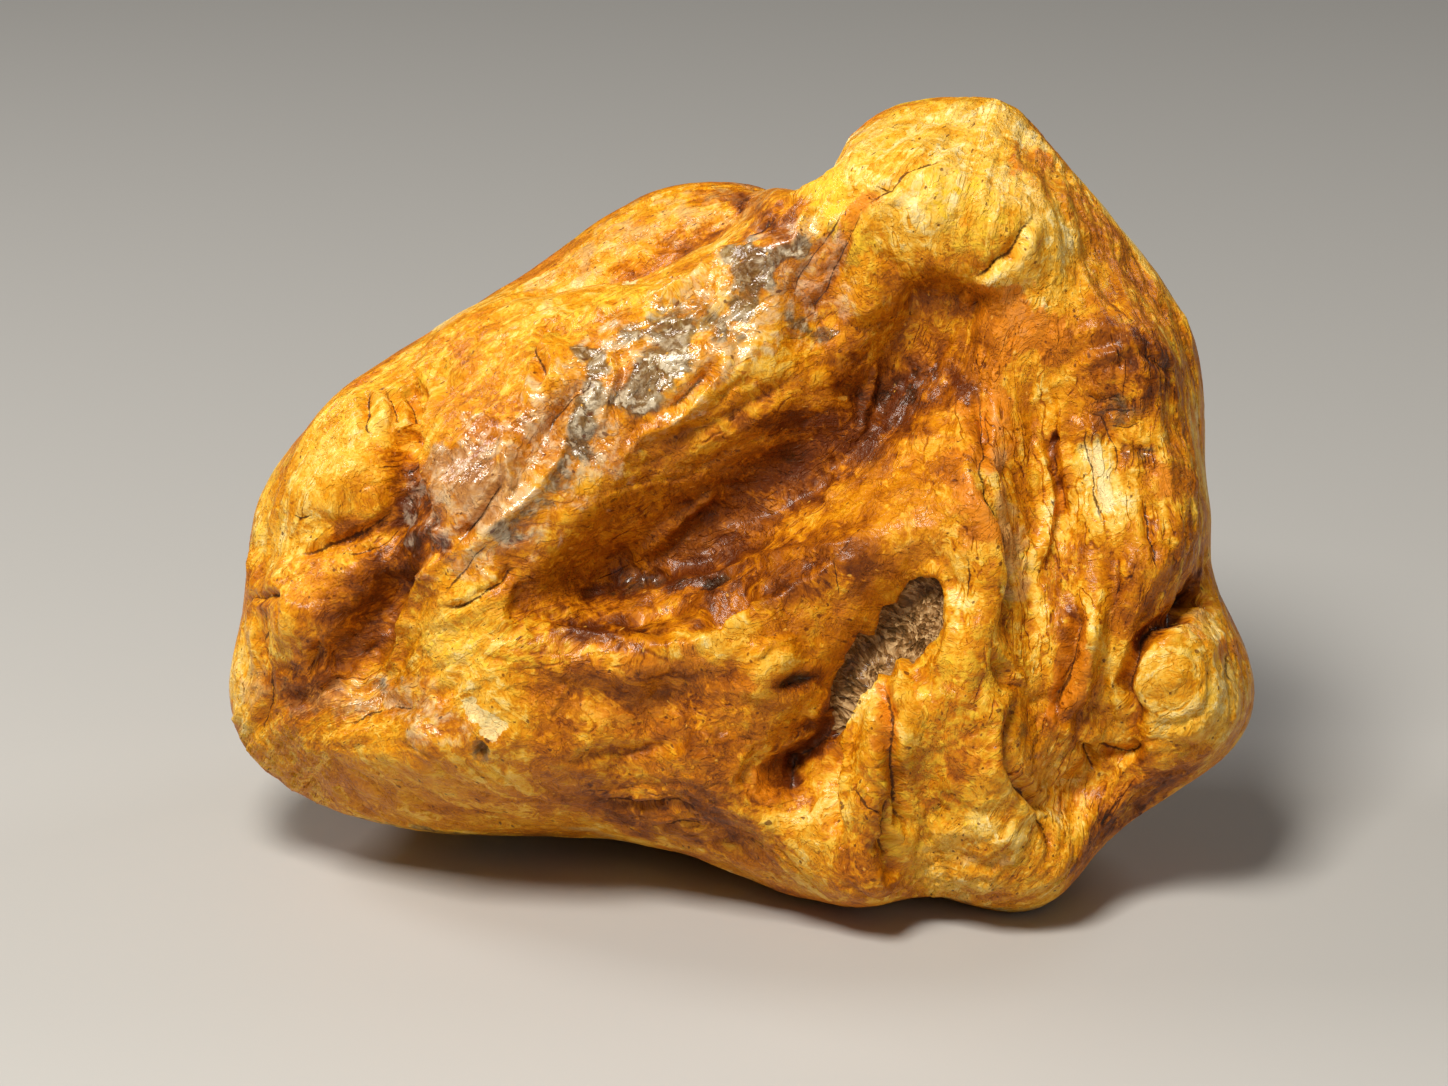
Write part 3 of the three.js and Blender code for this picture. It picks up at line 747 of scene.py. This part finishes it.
def dress(stone):
    """Raises the relief on the stone's mesh and stores what its material reads."""
    mesh = stone.data
    at = Surface(mesh)
    drawn, cracks, opened = face_relief(at.spots + STROKE_WOBBLE * at.wobble)
    pocket = depth_inside(at.spots, [POCKET])
    chalk = depth_inside(at.spots + CHALK_WOBBLE * at.wobble, CHALK)

    still = ramped(at.places[:, 2], 0.3 * MM, 3 * MM)  # the worn flats stay flat
    moved = at.places + at.normals * (stone_relief(at, drawn, pocket) * still * MM)[:, None]
    middle, reach, (right, down) = NOTCH
    pushed = ramped(np.hypot(*(at.spots - middle).T), reach, 0) * ramped(at.facing, 0.60, 0.20)
    moved += pushed[:, None] * (np.array(RIGHT) * right - np.array(UP) * down) * PIXEL
    moved[:, 2] = np.maximum(moved[:, 2], 0)
    mesh.vertices.foreach_set("co", np.ascontiguousarray(moved, np.float32).ravel())
    mesh.update()

    twist = TWIST * np.column_stack([fractal(at.face, 3, 2, shift=520 + 40 * way) for way in range(3)])
    painted = paint(at, drawn)
    store(mesh, "grain", "FLOAT", at.grain + GRAIN_TWIST * twist[:, 0])
    store(mesh, "place", "FLOAT_VECTOR", at.face + twist)
    store(mesh, "paint", "FLOAT_COLOR", painted["tone"], painted["rust"], painted["ochre"])
    store(mesh, "stain", "FLOAT_COLOR", painted["grey"], painted["blush"], painted["gloss"])
    store(mesh, "crack", "FLOAT_COLOR", *cracks.T)
    store(mesh, "open", "FLOAT_COLOR", *(opened * at.seen[:, None]).T)
    store(mesh, "fibrous", "FLOAT", painted["fibrous"])
    store(mesh, "crystal", "FLOAT", np.where(at.seen > 0, pocket, -OUTLINE_REACH))
    store(mesh, "chalk", "FLOAT", np.where(at.seen > 0, chalk, -OUTLINE_REACH))


# ---- The stone's material ----

def colour(red, green, blue):
    """A colour given as it shows on a screen, 0 to 255, as the light that Blender works with."""
    shown = np.array([red, green, blue]) / 255
    return (*np.where(shown <= 0.04045, shown / 12.92, ((shown + 0.055) / 1.055) ** 2.4), 1.0)


# From the deepest stain to the palest stone.
HONEY = [
    (0.00, colour(52, 18, 0)),
    (0.16, colour(104, 44, 0)),
    (0.32, colour(156, 80, 0)),
    (0.48, colour(200, 116, 0)),
    (0.61, colour(226, 148, 10)),
    (0.72, colour(240, 178, 52)),
    (0.84, colour(248, 202, 100)),
    (1.00, colour(255, 228, 160)),
]
# Stains over it: their colours where the stone is dark and where it is pale, and these two shades of it.
OCHRE = colour(160, 84, 0), colour(246, 194, 46), 0.2, 0.9
RUST = colour(92, 34, 0), colour(222, 122, 8), 0.22, 0.80
BLUSH = colour(124, 68, 26), colour(222, 166, 100), 0.1, 0.9
SMOKE = colour(44, 34, 18), colour(104, 86, 58), 0.3, 0.8
# The pale of the skin flakes on the grey patches, used also for their painted glare and for the crest's
# painted sheen.
PALE_SKIN_AND_SHEEN = colour(230, 212, 180)
CHALK_COLOUR = colour(250, 226, 160)
PORE = colour(96, 40, 4)
# Pale flecks: painted glints, as tiny bright dots.
GLINT_FLECK = colour(244, 176, 62)
# The cracks' dark line, partly their own colour and partly painted shade in them.
CRACK_DARK_AND_SHADE = colour(58, 24, 5)
CRYSTAL = [(0.30, colour(84, 56, 24)), (0.52, colour(140, 98, 52)), (0.74, colour(206, 168, 116))]
BUMP = 0.75 * MM  # the fine relief's height
COAT_ROUGHNESS = 0.14
SPECULAR = 0.3
SPECULAR_TINT = (1.0, 0.85, 0.6, 1.0)
FLOOR_COLOUR = colour(186, 183, 178)


class Graph:
    """Makes a material's nodes. Each method returns the output that the next node takes in."""

    def __init__(self, name):
        self.material = bpy.data.materials.new(name)
        self.material.use_nodes = True
        self.tree = self.material.node_tree
        self.shader = self.tree.nodes["Principled BSDF"]

    def node(self, kind, inputs=(), **settings):
        node = self.tree.nodes.new(kind)
        for name, value in settings.items():
            setattr(node, name, value)
        for socket, value in dict(inputs).items():
            self.feed(node.inputs[socket], value)
        return node

    def feed(self, socket, value):
        if isinstance(value, bpy.types.NodeSocket):
            self.tree.links.new(value, socket)
        else:
            socket.default_value = value

    def attribute(self, name, output="Fac"):
        return self.node("ShaderNodeAttribute", attribute_name=name).outputs[output]

    def parts(self, three):
        """The three values that are stored together as a colour."""
        split = self.node("ShaderNodeSeparateColor", {0: three})
        return split.outputs[0], split.outputs[1], split.outputs[2]

    def math(self, operation, a, b=0.0, c=0.0, clamp=False):
        inputs = {0: a, 1: b, 2: c}
        return self.node("ShaderNodeMath", inputs, operation=operation, use_clamp=clamp).outputs[0]

    def plus(self, a, b, clamp=False):
        return self.math("ADD", a, b, clamp=clamp)

    def less(self, a, b):
        return self.math("SUBTRACT", a, b)

    def times(self, a, b):
        return self.math("MULTIPLY", a, b)

    def greater(self, a, b):
        return self.math("MAXIMUM", a, b)

    def scaled(self, value, by, plus=0.0):
        return self.math("MULTIPLY_ADD", value, by, plus)

    def swing(self, texture, amount):
        """A texture's swing to both sides of its middle, by an amount in all."""
        return self.scaled(texture, amount, -amount / 2)

    def fit(self, value, low, high, to_low=0.0, to_high=1.0):
        """A smooth rise or fall from one value to another, as a value goes from low to high."""
        inputs = {"Value": value, "From Min": low, "From Max": high, "To Min": to_low, "To Max": to_high}
        return self.node("ShaderNodeMapRange", inputs, interpolation_type="SMOOTHSTEP").outputs[0]

    def mix(self, share, a, b):
        node = self.node("ShaderNodeMix", data_type="RGBA")
        for socket, value in zip((node.inputs[0], node.inputs[6], node.inputs[7]), (share, a, b)):
            self.feed(socket, value)
        return node.outputs[2]

    def noise(self, vector, scale=1.0, detail=3.0, rough=0.55, twist=0.0):
        inputs = {"Vector": vector, "Scale": scale, "Detail": detail, "Roughness": rough, "Distortion": twist}
        return self.node("ShaderNodeTexNoise", inputs).outputs["Fac"]

    def cells(self, vector, scale=1.0):
        """How far each spot is from the middle of its cell, and two random numbers of the cell."""
        cells = self.node("ShaderNodeTexVoronoi", {"Vector": vector, "Scale": scale})
        first, second, _ = self.parts(cells.outputs["Color"])
        return cells.outputs["Distance"], first, second

    def ramp(self, value, stops):
        node = self.node("ShaderNodeValToRGB", {0: value})
        elements = node.color_ramp.elements
        while len(elements) < len(stops):
            elements.new(1.0)
        for element, (place, shade) in zip(elements, stops):
            element.position = place
            element.color = shade
        return node.outputs[0]

    def bump(self, height):
        return self.node("ShaderNodeBump", {"Height": height, "Distance": BUMP, "Strength": 1.0}).outputs[0]


def read_mesh(g):
    """What the mesh holds for the material: each spot's place, its grain, its stains with their painted light
    and shade, and its cracks.
    """
    spot = SimpleNamespace()
    spot.place = g.attribute("place", "Vector")
    spot.tone, spot.rust, spot.ochre = g.parts(g.attribute("paint", "Color"))
    spot.grey, spot.blush, spot.gloss = g.parts(g.attribute("stain", "Color"))
    spot.cracks = g.parts(g.attribute("crack", "Color"))
    spot.opened = g.parts(g.attribute("open", "Color"))
    for name in ("grain", "crystal", "chalk", "fibrous"):
        setattr(spot, name, g.attribute(name))
    return spot


def fine_textures(g, spot):
    """The noise that the stone's colours and its fine relief are made of."""
    split = g.node("ShaderNodeSeparateXYZ", {0: spot.place})
    depth_way = g.plus(split.outputs[0], split.outputs[2])

    def fibre_space(across, along):
        """Space in which noise comes out as streaks down the grain, this many to the millimetre each way."""
        ways = g.times(spot.grain, across), g.times(split.outputs[1], along), g.times(depth_way, along)
        return g.node("ShaderNodeCombineXYZ", enumerate(ways)).outputs[0]

    def tops(texture, width, where):
        """1 on level ground, and 0 in the furrows where a texture passes its middle, if where is 1 there."""
        off_middle = g.math("ABSOLUTE", g.less(texture, 0.5))
        return g.scaled(g.less(g.fit(off_middle, 0.0, width), 1.0), where, 1.0)

    fine = SimpleNamespace()
    fine.fibres = g.noise(fibre_space(1.5, 0.20), detail=2, rough=0.5)
    fine.strands = g.noise(fibre_space(0.60, 0.08), detail=2, rough=0.6)
    fine.streaks = g.noise(fibre_space(0.28, 0.035), detail=2, rough=0.6)
    fine.mottle = g.noise(spot.place, scale=0.34, detail=4, rough=0.64)
    fine.curds = g.noise(spot.place, scale=0.85, detail=3, rough=0.6)
    fine.grit = g.noise(spot.place, scale=2.6, detail=2, rough=0.6)
    fine.patches = g.noise(fibre_space(0.20, 0.09), detail=4, rough=0.66, twist=1.2)
    fibrous_patches = g.scaled(spot.fibrous, 0.10, fine.patches)
    fine.strand_tops = tops(fine.strands, 0.030, g.fit(fibrous_patches, 0.54, 0.64))
    fine.wrinkle_tops = tops(fine.curds, 0.040, g.fit(fine.patches, 0.46, 0.36))
    fine.pore_distance, fine.pore_kind, fine.fleck_kind = g.cells(fibre_space(1.3, 0.8))
    fine.facet_distance, _, fine.glint = g.cells(spot.place, 2.4)

    # Flakes: a texture made into level steps, and the part of the way up to the next one.
    value = g.times(fine.patches, FLAKE_STEPS)
    whole = g.math("FLOOR", value)
    fine.way_up = g.less(value, whole)
    fine.flakes = g.math("DIVIDE", g.plus(whole, g.fit(fine.way_up, 0.0, 0.16)), FLAKE_STEPS)
    return fine


def paleness(g, spot, fine):
    """How pale the stone is. The stain lies in its furrows, and what stands proud is worn pale."""
    shade = spot.tone
    for texture, amount in ((fine.mottle, 0.50), (fine.curds, 0.28), (fine.grit, 0.30)):
        shade = g.plus(shade, g.swing(texture, amount))
    down_the_grain = g.scaled(spot.fibrous, 0.75, 0.35)
    for texture, amount in ((fine.streaks, 0.45), (fine.strands, 0.36), (fine.fibres, 0.34)):
        shade = g.scaled(g.swing(texture, amount), down_the_grain, shade)
    worn = g.fit(g.scaled(g.less(fine.curds, 0.5), 0.3, fine.patches), 0.52, 0.60)
    for tops, amount, least in ((worn, 0.16, -0.05), (fine.strand_tops, 0.26, -0.23),
                                (fine.wrinkle_tops, 0.12, -0.10)):
        shade = g.plus(shade, g.scaled(tops, amount, least))
    # The stone is darker just below each flake's step: painted shade at the foot of the step.
    return g.less(shade, g.times(g.fit(fine.way_up, 0.90, 0.98), 0.10))


def stained(g, spot, fine, shade):
    """The stone's colour with its stains and a painted pale sheen and glare on the crest, and how far it is
    polished.
    """

    def share_of(mask, texture, sway=1.6, low=0.34, high=0.72):
        """A stain's share at a spot: a texture makes its edge ragged."""
        return g.fit(g.plus(mask, g.swing(texture, sway)), low, high)

    def stain(base, share, dark, pale, low, high):
        return g.mix(share, base, g.mix(g.fit(shade, low, high), dark, pale))

    gold_share = g.greater(share_of(spot.ochre, fine.curds), g.times(g.fit(fine.mottle, 0.54, 0.66), 0.5))
    rust_spots = g.times(g.fit(g.less(fine.streaks, fine.mottle), 0.08, 0.22), 0.45)
    rust_share = share_of(g.plus(spot.rust, rust_spots), fine.mottle)
    grey_share = share_of(spot.grey, fine.mottle, 1.8, 0.24, 0.78)
    gloss_share = share_of(spot.gloss, fine.mottle, 1.2)
    base = stain(g.ramp(shade, HONEY), gold_share, *OCHRE)
    base = stain(base, g.times(rust_share, 0.85), *RUST)
    base = stain(base, g.times(share_of(spot.blush, fine.mottle), 0.75), *BLUSH)
    base = stain(base, g.times(grey_share, 0.8), *SMOKE)

    # Pale flakes on the grey patches, partly pale skin and partly painted glare, and a painted pale sheen on
    # the glossy crest.
    skin = g.scaled(g.plus(fine.fibres, fine.strands), 0.5, g.times(fine.curds, 0.6))
    in_grey = g.fit(g.plus(spot.grey, g.swing(fine.mottle, 1.0)), 0.74, 0.96)
    pale_flakes_and_glare = g.times(g.times(g.fit(skin, 0.80, 0.92), in_grey), 0.75)
    sheen_spots = g.fit(g.plus(g.times(fine.curds, 0.5), g.times(fine.mottle, 0.5)), 0.46, 0.62)
    painted_sheen = g.times(sheen_spots, g.times(gloss_share, 0.38))
    base = g.mix(g.greater(pale_flakes_and_glare, painted_sheen), base, PALE_SKIN_AND_SHEEN)
    return base, g.greater(gloss_share, grey_share)


def chalky(g, spot, fine, base):
    """The colour with the chalky chips, and how chalky each spot is."""
    chalk_share = g.fit(g.plus(spot.chalk, g.swing(fine.curds, 12.0)), 0.0, 1.0)
    base = g.mix(g.times(chalk_share, g.fit(fine.grit, 0.2, 0.6, 0.35, 0.85)), base, CHALK_COLOUR)
    return base, chalk_share


def pored(g, fine, base):
    """The colour with small dark pores and with pale flecks that are painted glints; a cell has at most one
    of them.
    """
    edge = g.scaled(fine.grit, 0.24, g.less(fine.pore_distance, 0.12))

    def dots(size):
        """1 in the middle of each cell, out to a size."""
        return g.times(g.fit(g.less(edge, size), -0.08, 0.04, 1.0, 0.0), g.fit(size, 0.02, 0.08))

    pores = dots(g.fit(g.plus(fine.pore_kind, g.swing(fine.mottle, 0.9)), 0.60, 1.05, 0.0, 0.28))
    # The pale flecks are painted glints.
    glint_flecks = g.times(dots(g.fit(fine.fleck_kind, 0.78, 1.0, 0.0, 0.22)), g.less(1.0, pores))
    base = g.mix(g.times(glint_flecks, 0.7), base, GLINT_FLECK)
    return g.mix(g.times(pores, 0.8), base, PORE)


def cracked(g, spot, fine, base):
    """The colour with the dark lines of the cracks, partly their own dark and partly painted shade in them,
    and how much of a crack each spot is.
    """
    jag = g.scaled(fine.grit, 2.0, g.scaled(fine.curds, 2.4, -2.2))
    crack_dark_and_shade = 0.0
    for off, opened in zip(spot.cracks, spot.opened):
        line = g.times(g.fit(g.plus(g.math("ABSOLUTE", off), jag), 0.3, 1.3, 1.0, 0.0), opened)
        crack_dark_and_shade = g.greater(crack_dark_and_shade, line)
    return g.mix(g.times(crack_dark_and_shade, 0.85), base, CRACK_DARK_AND_SHADE), crack_dark_and_shade


def crystalline(g, spot, fine, base):
    """The colour with the crystals of the pocket, and how much of a crystal each spot is."""
    crystal = g.fit(g.plus(spot.crystal, g.swing(fine.curds, 5.0)), 0.0, 1.0)
    # Each crystal facet is paler or darker by its cell's own number: painted glints and shade on the facets.
    druse = g.ramp(g.scaled(g.less(fine.glint, 0.5), 0.35, fine.curds), CRYSTAL)
    return g.mix(crystal, base, druse), crystal


def stone_material():
    g = Graph(NODE)
    spot = read_mesh(g)
    fine = fine_textures(g, spot)
    shade = paleness(g, spot, fine)
    base, polish = stained(g, spot, fine, shade)
    base, chalk_share = chalky(g, spot, fine, base)
    base = pored(g, fine, base)
    base, crack_dark_and_shade = cracked(g, spot, fine, base)
    base, crystal = crystalline(g, spot, fine, base)

    rough = g.plus(g.scaled(fine.grit, 0.30, 0.36), g.times(chalk_share, 0.25))
    rough = g.plus(rough, g.times(crack_dark_and_shade, 0.3), clamp=True)

    height = g.times(g.times(crystal, fine.facet_distance), 0.5)
    height = g.scaled(fine.streaks, g.scaled(spot.fibrous, 0.55, 0.25), height)
    for texture, amount in ((fine.fibres, 0.20), (fine.strands, 0.42), (fine.mottle, 0.9), (fine.curds, 0.28),
                            (fine.flakes, 1.6), (fine.strand_tops, 0.16), (fine.wrinkle_tops, 0.08)):
        height = g.scaled(texture, amount, height)

    # The clear waxy skin over the stone is smoother than what shows through it.
    skin = g.times(fine.curds, g.scaled(spot.gloss, 0.16, 0.14))
    for texture, amount in ((fine.mottle, 0.42), (fine.fibres, 0.08)):
        skin = g.scaled(texture, amount, skin)

    shader = g.shader.inputs
    g.feed(shader["Base Color"], base)
    g.feed(shader["Roughness"], rough)
    g.feed(shader["Normal"], g.bump(height))
    g.feed(shader["Coat Normal"], g.bump(skin))
    g.feed(shader["Coat Weight"], g.scaled(polish, 0.76, 0.14))
    g.feed(shader["Coat Roughness"], COAT_ROUGHNESS)
    g.feed(shader["Specular IOR Level"], SPECULAR)
    g.feed(shader["Specular Tint"], SPECULAR_TINT)
    return g.material


# ---- Floor, light and camera ----

def floor():
    bpy.ops.mesh.primitive_plane_add(size=FLOOR_SIZE, location=(0, 0, 0))
    plane = bpy.context.object
    plane.name = "floor"
    g = Graph("floor")
    g.feed(g.shader.inputs["Base Color"], FLOOR_COLOUR)
    g.feed(g.shader.inputs["Roughness"], FLOOR_ROUGHNESS)
    plane.data.materials.append(g.material)


def soft_light(name, aside, height, distance, size, power, tint=(1, 1, 1)):
    """A square soft light aimed at the stone. aside and height are in degrees, seen from the front."""
    data = bpy.data.lights.new(name, "AREA")
    data.size = size
    data.energy = power
    data.color = tint
    lamp = bpy.data.objects.new(name, data)
    bpy.context.scene.collection.objects.link(lamp)
    turn, rise = math.radians(aside), math.radians(height)
    way = Vector((math.sin(turn) * math.cos(rise), -math.cos(turn) * math.cos(rise), math.sin(rise)))
    lamp.location = FACE_CENTRE + way * distance
    lamp.rotation_euler = way.to_track_quat("Z", "Y").to_euler()


def light():
    soft_light("key", aside=-26, height=56, distance=0.75, size=0.24, power=7.1, tint=(1, 0.97, 0.91))
    soft_light("fill", aside=30, height=20, distance=0.9, size=0.4, power=0.5, tint=(1, 0.97, 0.92))
    soft_light("rim left", aside=-112, height=38, distance=0.8, size=0.25, power=2.2)
    soft_light("rim right", aside=118, height=40, distance=0.8, size=0.25, power=1.0)
    world = bpy.data.worlds.new("room")
    world.use_nodes = True
    background = world.node_tree.nodes["Background"]
    background.inputs["Color"].default_value = ROOM_COLOUR
    background.inputs["Strength"].default_value = ROOM_LIGHT
    bpy.context.scene.world = world
    bpy.context.scene.view_settings.view_transform = "Standard"


def camera():
    data = bpy.data.cameras.new("camera")
    data.sensor_width = SENSOR
    data.lens = SENSOR * CAMERA_DISTANCE / (PICTURE[0] * PIXEL)
    view = bpy.data.objects.new("camera", data)
    view.location = camera_place()
    view.rotation_euler = OUT.to_track_quat("Z", "Y").to_euler()
    bpy.context.scene.collection.objects.link(view)
    bpy.context.scene.camera = view


camera()
floor()
light()
stone = fine_copy(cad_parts[NODE], "stone")
dress(stone)
lighten(stone)
stone.data.materials.append(stone_material())
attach(stone, "root")
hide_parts(NODE)
